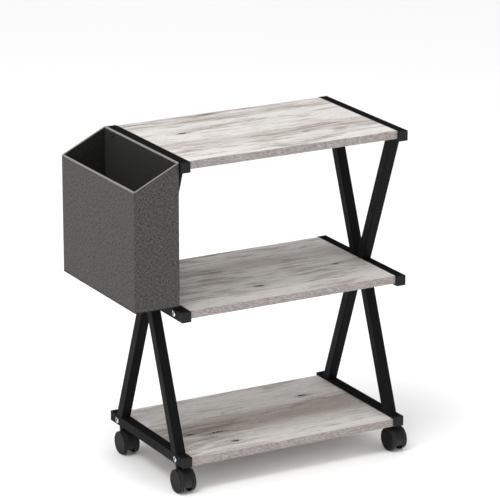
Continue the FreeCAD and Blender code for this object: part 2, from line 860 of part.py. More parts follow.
panel_base = "bag_base + " + INSIDE_FABRIC
outer_near = "bag_depth - %s - panel" % INSIDE_FABRIC
nodes.append(open_box("bag_outer_fabric", "0", "fabric"))
nodes.append(open_box("bag_lining", INSIDE_PANEL, BAG_WALL))
nodes.append(end_panel("bag_front_panel", -1))
nodes.append(end_panel("bag_back_panel", 1))
nodes.append(long_panel("bag_inner_panel", wall_corners(INSIDE_FABRIC, panel_base), holes=True))
nodes.append(long_panel("bag_outer_panel", wall_corners(outer_near, panel_base)))
base_in = "-%s" % INSIDE_PANEL
base_out = "-bag_depth + " + INSIDE_PANEL
base_corners = [
    (base_in, panel_base),
    (base_in, panel_base + " + panel"),
    (base_out, panel_base + " + panel"),
    (base_out, panel_base),
]
nodes.append(long_panel("bag_base_panel", base_corners))
nodes.append(rim_binding())

wall_face = "-frame_width / 2 - bag_gap - " + BAG_WALL
eyelet_piece = eyelet()
bag_bolt = head_bolt("bag_bolt", "bag_bolt_length")
eyelet_places = []
bag_bolt_places = []
for end_sign in ENDS.values():
    bolt_y = signed(end_sign, "bolt_place")
    eyelet_places.append((wall_face, bolt_y, bolt_height("top"), 0))
    bag_bolt_places.append((wall_face + " - eyelet_flange", bolt_y, bolt_height("top"), 0))
nodes.append(group("bag_eyelets", eyelet_piece, eyelet_places))
nodes.append(group("bag_bolts", bag_bolt, bag_bolt_places))

# ---------------------------------------------------------------- checks and files

doc.recompute()
for item in doc.Objects:
    if "Invalid" in item.State or "Error" in item.State:
        raise RuntimeError("%s (%s) failed: %s" % (item.Name, item.Label, item.State))
for node in nodes:
    if node.Shape.isNull() or not node.Shape.isValid() or node.Shape.Volume <= 0:
        raise RuntimeError("%s has no valid shape" % node.Label)

os.makedirs("parts", exist_ok=True)
for node in nodes:
    node.Shape.exportStep("parts/%s.step" % node.Label)
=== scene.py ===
import json
import math

import bmesh
import bpy
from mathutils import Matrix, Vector, noise


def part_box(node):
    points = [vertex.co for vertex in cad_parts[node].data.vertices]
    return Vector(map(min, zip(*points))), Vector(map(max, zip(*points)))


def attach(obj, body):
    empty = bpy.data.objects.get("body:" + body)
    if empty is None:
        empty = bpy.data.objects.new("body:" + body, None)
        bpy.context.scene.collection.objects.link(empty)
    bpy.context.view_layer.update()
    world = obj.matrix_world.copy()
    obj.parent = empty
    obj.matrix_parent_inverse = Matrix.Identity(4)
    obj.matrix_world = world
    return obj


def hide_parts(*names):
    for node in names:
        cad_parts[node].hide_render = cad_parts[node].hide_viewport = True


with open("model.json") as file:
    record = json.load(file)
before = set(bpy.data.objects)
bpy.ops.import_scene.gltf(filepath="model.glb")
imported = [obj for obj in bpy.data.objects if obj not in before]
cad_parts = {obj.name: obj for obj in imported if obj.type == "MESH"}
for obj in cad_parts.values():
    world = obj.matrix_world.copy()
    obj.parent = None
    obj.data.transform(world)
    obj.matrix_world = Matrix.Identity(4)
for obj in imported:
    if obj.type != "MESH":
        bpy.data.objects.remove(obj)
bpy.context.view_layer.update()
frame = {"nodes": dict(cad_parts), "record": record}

# Looks for the rolling stand: materials for the steel, boards, casters and fixings, and a sewn fabric
# bag in place of its plain solids. Metres, +Z up, the front towards -Y, the bag on the -X side.

MM = 0.001


# ------------------------------------------------------------------ material helpers

def tone(red, green, blue):
    """A colour given as it looks on a screen, 0 to 255, turned into scene-linear RGBA."""
    def linear(value):
        value = value / 255
        if value <= 0.04045:
            return value / 12.92
        return ((value + 0.055) / 1.055) ** 2.4
    return (linear(red), linear(green), linear(blue), 1.0)


class Finish:
    """One material, with short calls for the nodes that the finishes share."""

    def __init__(self, name):
        self.material = bpy.data.materials.new(name)
        self.material.use_nodes = True
        self.tree = self.material.node_tree
        self.tree.nodes.clear()
        self.output = self.add("OutputMaterial")
        self.surface = self.add("BsdfPrincipled")
        self.feed(self.output.inputs["Surface"], self.surface.outputs["BSDF"])
        self.coordinates = self.add("TexCoord")

    def add(self, kind, inputs=None, **settings):
        """A new node, its settings and its inputs given by name."""
        node = self.tree.nodes.new("ShaderNode" + kind)
        for key, value in settings.items():
            setattr(node, key, value)
        for key, value in (inputs or {}).items():
            self.feed(node.inputs[key], value)
        return node

    def feed(self, socket, value):
        """Gives an input a value, or links another node's output to it."""
        if isinstance(value, bpy.types.NodeSocket):
            self.tree.links.new(value, socket)
        else:
            socket.default_value = value

    def set(self, **inputs):
        """Inputs of the Principled surface, underscores for spaces."""
        for key, value in inputs.items():
            self.feed(self.surface.inputs[key.replace("_", " ")], value)

    def place(self, scale=(1, 1, 1), shift=(0, 0, 0), source="Object"):
        """Coordinates in metres, stretched and shifted."""
        mapping = self.add("Mapping", {"Scale": scale, "Location": shift})
        self.feed(mapping.inputs["Vector"], self.coordinates.outputs[source])
        return mapping.outputs["Vector"]

    def noise(self, vector, scale=1.0, detail=3.0, roughness=0.5, distortion=0.0):
        """Fractal noise from 0 to 1."""
        inputs = {
            "Vector": vector,
            "Scale": scale,
            "Detail": detail,
            "Roughness": roughness,
            "Distortion": distortion,
        }
        return self.add("TexNoise", inputs).outputs[0]

    def math(self, operation, first, second=0.0):
        """A sum on one or two values."""
        node = self.add("Math", operation=operation)
        self.feed(node.inputs[0], first)
        self.feed(node.inputs[1], second)
        return node.outputs[0]

    def fit(self, value, low, high, to_low=0.0, to_high=1.0, smooth=True):
        """A value carried from one range to another and held there."""
        inputs = {
            "Value": value,
            "From Min": low,
            "From Max": high,
            "To Min": to_low,
            "To Max": to_high,
        }
        kind = "SMOOTHSTEP" if smooth else "LINEAR"
        return self.add("MapRange", inputs, interpolation_type=kind).outputs[0]

    def mix(self, amount, first, second, blend="MIX"):
        """Two colours mixed."""
        node = self.add("Mix", data_type="RGBA", blend_type=blend)
        self.feed(node.inputs[0], amount)
        self.feed(node.inputs[6], first)
        self.feed(node.inputs[7], second)
        return node.outputs[2]

    def ramp(self, value, stops):
        """A colour read from stops of (place, colour)."""
        node = self.add("ValToRGB", {"Fac": value})
        while len(node.color_ramp.elements) < len(stops):
            node.color_ramp.elements.new(0.5)
        for element, (place, colour) in zip(node.color_ramp.elements, stops):
            element.position = place
            element.color = colour
        return node.outputs["Color"]

    def bump(self, height, depth, strength=1.0, normal=None):
        """A bump whose full height is depth metres."""
        node = self.add("Bump", {"Height": height, "Distance": depth, "Strength": strength})
        if normal is not None:
            self.feed(node.inputs["Normal"], normal)
        return node.outputs["Normal"]

    def soft_edges(self, radius):
        """Normals that round the edges by radius, as paint and moulding do."""
        node = self.add("Bevel", {"Radius": radius}, samples=4)
        return node.outputs["Normal"]

    def edges(self, rounded):
        """1 on the edges that the rounded normals turn over, 0 on the flats."""
        turned = self.add("VectorMath", operation="DOT_PRODUCT")
        self.feed(turned.inputs[0], rounded)
        self.feed(turned.inputs[1], self.add("NewGeometry").outputs["Normal"])
        return self.fit(turned.outputs["Value"], 0.995, 0.90)

    def weigh(self, *parts):
        """The sum of pairs of (value, weight)."""
        total = None
        for value, weight in parts:
            weighed = self.math("MULTIPLY", value, weight)
            total = weighed if total is None else self.math("ADD", total, weighed)
        return total

    def split(self, vector):
        """The X, Y and Z of a vector."""
        return self.add("SeparateXYZ", {"Vector": vector}).outputs

    def join(self, x, y, z):
        """A vector of three values."""
        return self.add("CombineXYZ", {"X": x, "Y": y, "Z": z}).outputs[0]


# ------------------------------------------------------------------ finishes

def powder_coat():
    """Satin black powder coat: fine orange peel, uneven sheen, and edges painted a little brighter, partly
    as rubbed wear and partly as a painted highlight.
    """
    m = Finish("powder_coat_black")
    here = m.place()
    peel = m.noise(here, 1400, 2, 0.5)
    cloud = m.noise(here, 14, 3, 0.6)
    dust = m.fit(m.noise(here, 2600, 1, 0.4), 0.66, 0.74)
    paint_low, paint_high = tone(17, 17, 18), tone(27, 27, 28)
    rubbed_edge_highlight, speck = tone(36, 36, 38), tone(54, 54, 56)
    rounded = m.soft_edges(1.0 * MM)
    # The edges are painted lighter, partly as rubbed wear and partly as a painted highlight along them.
    rubbed_edge_highlight_mask = m.math("MULTIPLY", m.edges(rounded), m.fit(cloud, 0.35, 0.75, 0.15, 0.7))
    base = m.mix(rubbed_edge_highlight_mask, m.mix(cloud, paint_low, paint_high), rubbed_edge_highlight)
    m.set(Base_Color=m.mix(m.math("MULTIPLY", dust, 0.3), base, speck))
    m.set(Roughness=m.fit(cloud, 0.3, 0.7, 0.42, 0.56), Specular_IOR_Level=0.05)
    m.set(Normal=m.bump(peel, 0.05 * MM, 0.5, rounded))
    return m.material


SCUFF_GREY = tone(74, 74, 74)
EDGE_HIGHLIGHT_GREY = tone(120, 120, 121)


def black_plastic(name, colour, roughness, grain_depth, shine=0.25, rubbed_edge_highlight=0.25, painted_light_tread=None):
    """Moulded black plastic or blackened steel: fine grain, faint flow marks, and soft edges painted a
    little lighter as a painted highlight, drawn like rubbed plastic. A tread is a greyer colour painted as
    light on a wheel's running face, whose normals are square to its axle, along X."""
    m = Finish(name)
    here = m.place()
    grain = m.noise(here, 3200, 2, 0.6)
    flow = m.noise(m.place((18, 60, 60)), 1.0, 3, 0.6, 1.5)
    scuff = m.fit(m.noise(m.place((260, 900, 260)), 1.0, 2, 0.5), 0.64, 0.8)
    base = m.mix(flow, tone(*[c - 6 for c in colour]), tone(*[c + 8 for c in colour]))
    # Painted light: the wheel's running face gets a lighter grey than its black side faces, for the light
    # that falls on it.
    if painted_light_tread:
        facing = m.split(m.coordinates.outputs["Normal"])["X"]
        base = m.mix(m.fit(m.math("ABSOLUTE", facing), 0.3, 0.7, 1.0, 0.0), base, tone(*painted_light_tread))
    base = m.mix(m.math("MULTIPLY", scuff, 0.2), base, SCUFF_GREY)
    rounded = m.soft_edges(0.5 * MM)
    # Painted highlight: the soft edges are painted a lighter grey, like rubbed plastic.
    m.set(Base_Color=m.mix(m.math("MULTIPLY", m.edges(rounded), rubbed_edge_highlight), base, EDGE_HIGHLIGHT_GREY))
    m.set(Roughness=m.fit(flow, 0.3, 0.7, roughness - 0.06, roughness + 0.08), Specular_IOR_Level=shine)
    m.set(Normal=m.bump(grain, grain_depth, 0.6, rounded))
    return m.material


def bright_zinc(name, colour, roughness):
    """Zinc-plated steel: fine turning marks, a slightly cloudy passivation, and painted shade darkening
    its recesses.
    """
    m = Finish(name)
    here = m.place()
    cloud = m.noise(here, 300, 3, 0.6)
    marks = m.noise(m.place((400, 5200, 5200)), 1.0, 2, 0.5)
    dull, painted_recess_shade = tone(*[c - 26 for c in colour]), tone(10, 10, 10)
    # Painted shade: recesses such as the hex sockets are darkened towards black by how closed in they are.
    open_air = m.add("AmbientOcclusion", {"Distance": 3.0 * MM}, samples=8).outputs["AO"]
    plated = m.mix(cloud, dull, tone(*colour))
    m.set(Base_Color=m.mix(m.fit(open_air, 0.70, 0.96), painted_recess_shade, plated), Metallic=1.0)
    m.set(Roughness=m.fit(cloud, 0.3, 0.7, roughness, roughness + 0.14))
    m.set(Normal=m.bump(marks, 0.01 * MM, 0.5, m.soft_edges(0.25 * MM)))
    return m.material


KNOTS = {
    # board: (share of the board's length, share of its depth, length, width in mm), from its front left
    "bottom": [(0.27, 0.15, 12, 7), (0.25, 0.35, 26, 4), (0.13, 0.39, 12, 4), (0.80, 0.70, 14, 5)],
    "middle": [(0.42, 0.24, 15, 5), (0.86, 0.42, 12, 4)],
    "top": [(0.18, 0.62, 16, 5), (0.66, 0.28, 12, 4)],
}
TINT_AND_PAINTED_LIGHT_BANDS = {
    # board: (share of its depth from its front, half width in mm, strength), a brown band of the wood's
    # tint and painted shade, or below 0 a pale band of painted light along the front
    "bottom": [(0.46, 38, 0.9), (0.11, 24, -0.8)],
    "middle": [(0.68, 30, 0.6), (0.12, 20, -0.4)],
    "top": [(0.36, 22, 0.45), (0.86, 18, 0.4), (0.08, 16, -0.4)],
}
OAK_RAMP = [
    (0.40, tone(122, 113, 106)),
    (0.45, tone(156, 149, 143)),
    (0.49, tone(187, 182, 177)),
    (0.53, tone(208, 205, 202)),
    (0.58, tone(188, 184, 180)),
]
STAIN_AND_SHADE = (0.60, 0.54, 0.51, 1.0)
PAINTED_FRONT_LIGHT = tone(214, 211, 207)
PORE = tone(118, 106, 99)
CRACK = tone(96, 85, 78)
KNOT_RING = tone(128, 115, 106)
KNOT_HEART = tone(46, 37, 32)
WANDER = 12 * MM


def knots(m, tier, low, high, along, straight, across):
    """A board's knots: the grain's Y, pushed aside by them, and how far a spot is in a ring or a heart."""
    ragged_edge = m.fit(m.noise(m.place((220, 700, 1)), 1.0, 3, 0.6), 0.2, 0.8, -0.5, 0.5)
    rings_so_far = hearts_so_far = None
    for x_share, y_share, length, width in KNOTS[tier]:
        centre_x = low.x + x_share * (high.x - low.x)
        centre_y = low.y + y_share * (high.y - low.y)
        dx = m.math("DIVIDE", m.math("SUBTRACT", along, centre_x), length * MM)
        dy = m.math("DIVIDE", m.math("SUBTRACT", straight, centre_y), width * MM)
        reach = m.math("POWER", m.weigh((dx, dx), (dy, dy)), 0.5)
        near = m.fit(reach, 0.2, 3.2, 1.0, 0.0)
        push = m.math("MULTIPLY", m.math("MULTIPLY", dy, near), width * MM * -0.55)
        across = m.math("ADD", across, push)
        ragged = m.math("ADD", reach, ragged_edge)
        heart = m.fit(ragged, 0.45, 0.85, 1.0, 0.0)
        rings = m.math("SINE", m.math("MULTIPLY", ragged, 7.5))
        rings = m.math("MULTIPLY", m.fit(rings, 0.2, 1.0), m.fit(reach, 1.0, 2.6, 0.5, 0.0))
        rings_so_far = rings if rings_so_far is None else m.math("MAXIMUM", rings_so_far, rings)
        hearts_so_far = heart if hearts_so_far is None else m.math("MAXIMUM", hearts_so_far, heart)
    return across, rings_so_far, hearts_so_far


def washed_oak(tier):
    """Grey washed oak laminate: pale bands of painted light along the front, wide brown bands of the
    wood's tint and painted shade together, fine grain along X, pores and dark knots. Each noise is
    stretched to so many cells a metre, along and across the grain."""
    m = Finish("washed_oak_" + tier)
    low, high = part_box(tier + "_shelf_board")
    number = list(KNOTS).index(tier)
    shift = (3.1 * number, 1.7 * number, 0.0)
    parts = m.split(m.place())
    along, straight = parts["X"], parts["Y"]
    wander = m.noise(m.place((3.5, 9, 1), shift), 1.0, 3, 0.55)
    across = m.math("ADD", straight, m.fit(wander, 0.2, 0.8, -WANDER, WANDER, False))
    across, rings, hearts = knots(m, tier, low, high, along, straight, across)
    bent = m.join(along, across, parts["Z"])

    def stretched(length, width):
        mapping = m.add("Mapping", {"Vector": bent, "Scale": (length, width, 8.0), "Location": shift})
        return mapping.outputs["Vector"]

    bands = m.noise(stretched(2.4, 14), 1.0, 3, 0.55)
    patches = m.noise(stretched(9, 40), 1.0, 3, 0.6)
    streaks = m.noise(stretched(9.5, 110), 1.0, 6, 0.78, 0.1)
    grain = m.noise(stretched(22, 560), 1.0, 4, 0.7)
    pores = m.fit(m.noise(stretched(60, 1500), 1.0, 2, 0.5), 0.60, 0.72)
    cracks = m.fit(m.noise(stretched(26, 260), 1.0, 3, 0.6), 0.66, 0.71)
    mixed = m.weigh((bands, 0.20), (patches, 0.18), (streaks, 0.40), (grain, 0.22))
    colour = m.ramp(mixed, OAK_RAMP)
    for y_share, half_width, strength in TINT_AND_PAINTED_LIGHT_BANDS[tier]:
        centre_y = low.y + y_share * (high.y - low.y)
        off = m.math("ABSOLUTE", m.math("SUBTRACT", across, centre_y))
        near = m.fit(off, 0.4 * half_width * MM, 1.4 * half_width * MM, 1.0, 0.0)
        near = m.math("MULTIPLY", near, m.fit(patches, 0.3, 0.6, 0.4, 1.0))
        near = m.math("MULTIPLY", near, abs(strength))
        # Brown bands darken the wood with its tint and painted shade together; pale bands along the front
        # are painted light.
        if strength > 0:
            colour = m.mix(near, colour, STAIN_AND_SHADE, "MULTIPLY")
        else:
            near = m.math("MULTIPLY", near, m.fit(mixed, 0.43, 0.49, 0.1, 1.0))
            colour = m.mix(near, colour, PAINTED_FRONT_LIGHT)
    colour = m.mix(m.math("MULTIPLY", pores, 0.35), colour, PORE)
    colour = m.mix(m.math("MULTIPLY", cracks, 0.7), colour, CRACK)
    colour = m.mix(rings, colour, KNOT_RING)
    m.set(Base_Color=m.mix(hearts, colour, KNOT_HEART))
    m.set(Roughness=m.fit(streaks, 0.3, 0.7, 0.46, 0.6), Specular_IOR_Level=0.35)
    m.set(Normal=m.bump(m.weigh((grain, 0.5), (pores, -0.6)), 0.10 * MM, 0.6))
    return m.material


EDGE_RAMP = [
    (0.38, tone(118, 110, 106)),
    (0.46, tone(142, 135, 131)),
    (0.54, tone(162, 156, 153)),
    (0.64, tone(186, 181, 178)),
]
EDGE_DASH = tone(98, 87, 82)
EDGE_SLANT = 0.28


def oak_edge():
    """Printed edge banding: the board's colours in a short, slanting, busy grain."""
    m = Finish("oak_edge_banding")
    here = m.split(m.place())
    level = m.math("ADD", here["X"], here["Y"])
    slanting = m.join(level, m.math("ADD", here["Z"], m.math("MULTIPLY", level, EDGE_SLANT)), 0.0)

    def stretched(length, width):
        return m.add("Mapping", {"Vector": slanting, "Scale": (length, width, 1.0)}).outputs["Vector"]

    patches = m.noise(stretched(16, 60), 1.0, 2, 0.5)
    figure = m.noise(stretched(90, 420), 1.0, 4, 0.66, 0.4)
    fibres = m.noise(stretched(160, 900), 1.0, 3, 0.6)
    dashes = m.fit(m.noise(stretched(110, 520), 1.0, 2, 0.5), 0.57, 0.68)
    colour = m.ramp(m.weigh((figure, 0.55), (fibres, 0.33), (patches, 0.12)), EDGE_RAMP)
    m.set(Base_Color=m.mix(m.math("MULTIPLY", dashes, 0.5), colour, EDGE_DASH))
    m.set(Roughness=m.fit(figure, 0.3, 0.7, 0.44, 0.58), Specular_IOR_Level=0.3)
    m.set(Normal=m.bump(fibres, 0.06 * MM, 0.6, m.soft_edges(0.3 * MM)))
    return m.material


SLUB_LENGTH = 5.5 * MM
SLUB_WIDTH = 1.3 * MM
GAP_SHADE = (0.012, 0.012, 0.012, 1)


def woven(name, dark, light, thread, calm, coarse=1.0):
    """Plain linen-look weave on the piece's own unrolled coordinates, in metres: crossing threads,
    and slubs where a thread is darker or lighter for a short way. The more calm, the less they differ."""
    m = Finish(name)
    unrolled = m.split(m.coordinates.outputs["UV"])
    u, v = unrolled["X"], unrolled["Y"]
    waver = m.noise(m.place((120, 120, 1), source="UV"), 1.0, 2, 0.5)
    nudge = m.fit(waver, 0.2, 0.8, -0.35 * thread, 0.35 * thread, False)
    count_u = m.math("DIVIDE", m.math("ADD", u, nudge), thread)
    count_v = m.math("DIVIDE", m.math("SUBTRACT", v, nudge), thread)
    wave_u = m.math("SINE", m.math("MULTIPLY", count_u, math.pi))
    wave_v = m.math("SINE", m.math("MULTIPLY", count_v, math.pi))
    weft_over = m.fit(m.math("MULTIPLY", wave_u, wave_v), -0.15, 0.15)
    warp_over = m.math("SUBTRACT", 1.0, weft_over)
    height = m.weigh((m.math("ABSOLUTE", wave_v), weft_over), (m.math("ABSOLUTE", wave_u), warp_over))
    along = 1 / (SLUB_LENGTH * coarse)
    across = 1 / (SLUB_WIDTH * coarse)
    weft_slubs = m.noise(m.place((along, across, 1), source="UV"), 1.0, 1, 0.5)
    warp_slubs = m.noise(m.place((across, along, 1), (5, 9, 0), "UV"), 1.0, 1, 0.5)
    slubs = 0.0
    for shade, over in ((weft_slubs, weft_over), (warp_slubs, warp_over)):
        apart = m.math("SUBTRACT", shade, 0.5)
        stressed = m.math("MULTIPLY", apart, m.math("ABSOLUTE", apart))
        share = m.fit(over, 0.0, 1.0, 0.7, 1.3, False)
        slubs = m.math("ADD", slubs, m.math("MULTIPLY", stressed, share))
    cloud = m.noise(m.place((30, 30, 1), source="UV"), 1.0, 2, 0.5)
    value = m.math("ADD", m.math("MULTIPLY", slubs, 12.0), m.fit(cloud, 0.3, 0.7, 0.49, 0.51))
    colour = m.mix(m.fit(value, 0.5 - calm, 0.5 + calm, 0.0, 1.0, False), dark, light)
    m.set(Base_Color=m.mix(m.fit(height, 0.0, 0.55, 0.55, 0.0), colour, GAP_SHADE))
    m.set(Roughness=0.88, Sheen_Weight=0.08, Sheen_Roughness=0.5, Specular_IOR_Level=0.1)
    m.set(Normal=m.bump(m.math("ADD", height, m.math("MULTIPLY", value, 0.8)), 0.35 * MM, 0.8))
    return m.material


def felted(name, dark, light):
    """Pressed board: matted fibres with a slightly cloudy dullness."""
    m = Finish(name)
    fibres = m.noise(m.place((900, 900, 900)), 1.0, 4, 0.7, 2.0)
    cloud = m.noise(m.place(), 40, 3, 0.6)
    m.set(Base_Color=m.mix(m.fit(fibres, 0.35, 0.65), dark, light))
    m.set(Roughness=m.fit(cloud, 0.3, 0.7, 0.82, 0.95), Sheen_Weight=0.04, Specular_IOR_Level=0.08)
    m.set(Normal=m.bump(fibres, 0.2 * MM, 0.7))
    return m.material


def thread():
    """Twisted sewing thread."""
    m = Finish("sewing_thread")
    twist = m.noise(m.place((4000, 4000, 4000)), 1.0, 2, 0.5)
    m.set(Base_Color=m.mix(twist, tone(104, 102, 99), tone(150, 148, 144)), Roughness=0.7)
    m.set(Normal=m.bump(twist, 0.08 * MM, 0.7))
    return m.material


linen = woven("grey_linen", tone(38, 37, 36), tone(106, 104, 101), 0.9 * MM, 0.56)
tape_cloth = woven("binding_tape", tone(92, 90, 87), tone(172, 170, 165), 0.5 * MM, 0.45, 0.35)
lining_cloth = woven("black_lining", tone(10, 10, 9), tone(46, 45, 42), 0.7 * MM, 0.45)
sewing_thread = thread()
wheel_black = black_plastic("wheel_black", (13, 13, 14), 0.42, 0.01 * MM, 0.12, 0.6, (40, 40, 41))

FINISHES = {
    "powder_coated_steel": powder_coat(),
    "plug_plastic": black_plastic("plug_black", (27, 27, 28), 0.5, 0.03 * MM, 0.2),
    "zinc_plated_steel": bright_zinc("bright_zinc", (226, 227, 230), 0.16),
    "insert_metal": bright_zinc("dull_zinc", (186, 180, 160), 0.32),
    "caster_plastic": black_plastic("caster_black", (30, 30, 31), 0.42, 0.01 * MM, 0.3),
    "oak_edge": oak_edge(),
    "grey_linen": linen,
    "black_lining": lining_cloth,
    "rim_binding": tape_cloth,
    "stiffener_board": felted("grey_board", tone(118, 112, 104), tone(150, 143, 133)),
    "blackened_steel": black_plastic("black_oxide", (38, 38, 39), 0.4, 0.01 * MM),
}

for part in frame["record"]["subparts"]:
    if part["material_slot"] == "washed_oak":
        finish = washed_oak(part["node"].split("_")[0])
    elif part["node"].endswith("_wheel"):
        finish = wheel_black
    else:
        finish = FINISHES[part["material_slot"]]
    slots = frame["nodes"][part["node"]].data.materials
    slots.clear()
    slots.append(finish)


# ------------------------------------------------------------------ storage bag
# The bag is sewn from sheets that follow one rounded rectangle, set in by as much as a sheet lies inside
# the bag's outer faces. A place on the way round it is (segment, share of the segment): the way starts at
# the middle of the inner wall, segment 0, and goes on through the front, outer, back and inner walls, the
# even segments, with a corner, an odd segment, between each two.

bag_low, bag_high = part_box("bag_outer_fabric")
rim_low, rim_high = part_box("bag_rim_binding")
lining_low, lining_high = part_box("bag_lining")
FRONT, OUTER, BACK = 2, 4, 6
FRONT_INNER_CORNER, BACK_INNER_CORNER = 1, 7
INNER_WALLS = (0, 8)
PITCH = 5 * MM
CLOTH = 0.9 * MM
LINING = 0.6 * MM
RIM_HEIGHT = 1.3 * MM
TUCK = 0.7 * MM             # how far under the rim's top the sheets end
CORNER = 1.6 * MM           # radius of the bag's upright corners
TIGHT_CORNER = 1.0 * MM     # least radius of a sheet's corner inside them
FOOT = 2.0 * MM             # radius of the turn from wall to base
LINING_INSET = bag_high.x - lining_high.x
WALL = LINING_INSET + LINING
HALF_WIDTH = (bag_high.x - bag_low.x) / 2
RIM_SLOPE = (rim_high.z - rim_low.z - RIM_HEIGHT) / (bag_high.x - bag_low.x)
SWELL = {FRONT: 1.0 * MM, OUTER: 2.4 * MM, BACK: 1.0 * MM}
SLACK = {FRONT: 1.2 * MM, OUTER: 1.6 * MM, BACK: 1.2 * MM}
WALL_RIPPLE = (40 * MM, 0.8 * MM)       # size, most
SLACK_RIPPLE = (55 * MM, 1.2 * MM)
TAPE_RIPPLE = (22 * MM, 0.15 * MM)
SEAM_GAP = 0.1 * MM         # between the outside's walls and its base
BASE_SAG = 2.2 * MM
LINING_RISE = 1.5 * MM
BASE_SHARES = (1.0, 0.88, 0.7, 0.5, 0.3, 0.14)
FOOT_STEPS = 6
EYELET_HOLE = 3.95 * MM
HOLE_MARGIN = 4 * MM        # how far round a hole the quads are made anew
FLATNESS = 0.2 * MM
WELD = 0.02 * MM
TAPE_WELD = 0.002 * MM
STITCH_STAND = 0.3 * MM     # how far the thread's middle stands off the wall
STITCH_DEPTH = 0.72 * MM    # how far under the rim's top it runs
STITCH_LENGTH = 2.1 * MM
STITCH_PITCH = 3.2 * MM
STITCH_RADIUS = 0.13 * MM
STITCH_SIDES = 6
STITCH_SHAPE = ((0.0, 0.35), (0.16, 0.9), (0.5, 1.0), (0.84, 0.9), (1.0, 0.35))


def way_round(pitch, arc_steps=6):
    """Places all the way round, about pitch apart on the walls and arc_steps to a corner."""
    across = round((bag_high.x - bag_low.x) / pitch)
    half = round((bag_high.y - bag_low.y) / pitch / 2)
    counts = [half, arc_steps, across, arc_steps, 2 * half, arc_steps, across, arc_steps, half]
    return [(segment, step / count) for segment, count in enumerate(counts) for step in range(count)]


def stand_at(place, inset):
    """Where a place on the way round is, on the rectangle set in by inset, and which way is outward."""
    segment, share = place
    radius = max(CORNER - inset, min(TIGHT_CORNER, HALF_WIDTH - inset))
    x_low, x_high = bag_low.x + inset + radius, bag_high.x - inset - radius
    y_low, y_high = bag_low.y + inset + radius, bag_high.y - inset - radius
    start = (x_high, (y_low + y_high) / 2)
    cores = [start, (x_high, y_low), (x_low, y_low), (x_low, y_high), (x_high, y_high), start]
    corner = (segment + 1) // 2
    if segment % 2:
        core, turns = Vector(cores[corner]), corner - 1 + share
    else:
        core, turns = Vector(cores[corner]).lerp(Vector(cores[corner + 1]), share), corner
    outward = Vector((math.cos(turns * math.pi / 2), -math.sin(turns * math.pi / 2)))
    return core + outward * radius, outward


def rim_height(x):
    """Height of the bag's sloping rim."""
    return rim_low.z + RIM_HEIGHT + (x - bag_low.x) * RIM_SLOPE


def ripple(x, y, z, size, most):
    """A soft unevenness, from 0 to most."""
    here = Vector((x, y, z)) / size
    value = noise.noise(here) + 0.5 * noise.noise(here.zxy * 2.1)
    return most * min(1.0, max(0.0, 0.5 + 0.6 * value))


def swell(place, height, most):
    """How far a wall stands out of its plane, at a share of its height: it is full low in the middle."""
    segment, share = place
    if segment in INNER_WALLS or segment % 2:
        return 0.0
    belly = math.sin(math.pi * share) ** 0.8 * math.sin(math.pi * height ** 0.8) ** 0.8
    return most[segment] * belly


def walked(path):
    """How far along a path each of its points is."""
    far = [0.0]
    for before, after in zip(path, path[1:]):
        far.append(far[-1] + (after - before).length)
    return far


def along_way(places, inset):
    """How far along the way round each place is."""
    return walked([stand_at(place, inset)[0] for place in places])


def loft(columns, round_length=None, flat_rows=0):
    """A grid of quads through columns of (point, (u, v)), each from the bottom up. With round_length, how
    much u grows all the way round, the grid closes on itself, and u goes on growing across the closing
    quads, save in the first flat_rows, whose (u, v) is a plan of the base."""
    mesh = bmesh.new()
    layer = mesh.loops.layers.uv.new("UVMap")
    made = [[mesh.verts.new(point) for point, _ in column] for column in columns]
    count = len(columns)
    for here in range(count if round_length else count - 1):
        there = (here + 1) % count
        for row in range(len(columns[here]) - 1):
            corners = [(here, row), (here, row + 1), (there, row + 1), (there, row)]
            face = mesh.faces.new([made[column][line] for column, line in corners])
            for loop, (column, line) in zip(face.loops, corners):
                u, v = columns[column][line][1]
                if there == 0 and column == 0 and line >= flat_rows:
                    u += round_length
                loop[layer].uv = (u, v)
    return mesh


def pierce(mesh, x, y, z, radius):
    """Opens a round hole in a sheet's inner wall, at x, about (y, z): the quads near it give way to a ring
    that runs from the edge they leave to the hole."""
    layer = mesh.loops.layers.uv.active
    centre = Vector((x, y, z))

    def close_to(face):
        flat = all(abs(vert.co.x - x) < FLATNESS for vert in face.verts)
        return flat and (face.calc_center_median() - centre).length < radius + HOLE_MARGIN

    gone = [face for face in mesh.faces if close_to(face)]
    loops = [loop for face in gone for loop in face.loops]
    known = {loop.vert: loop[layer].uv.copy() for loop in loops}
    mesh.edges.index_update()
    touched = {edge.index: edge for face in gone for edge in face.edges}
    border = [
        touched[index]
        for index in sorted(touched)
        if sum(face in gone for face in touched[index].link_faces) == 1
    ]
    bmesh.ops.delete(mesh, geom=gone, context="FACES_KEEP_BOUNDARY")
    hole = {}
    for vert in (vert for edge in border for vert in edge.verts):
        if vert not in hole:
            aim = (vert.co - centre).normalized()
            hole[vert] = mesh.verts.new(centre + aim * radius)
            step = hole[vert].co - vert.co
            known[hole[vert]] = known[vert] + Vector((-step.y, step.z))
    for edge in border:
        first, second = edge.verts
        face = mesh.faces.new((first, second, hole[second], hole[first]))
        face.normal_update()
        if face.normal.x < 0:
            face.normal_flip()
        for loop in face.loops:
            loop[layer].uv = known[loop.vert]


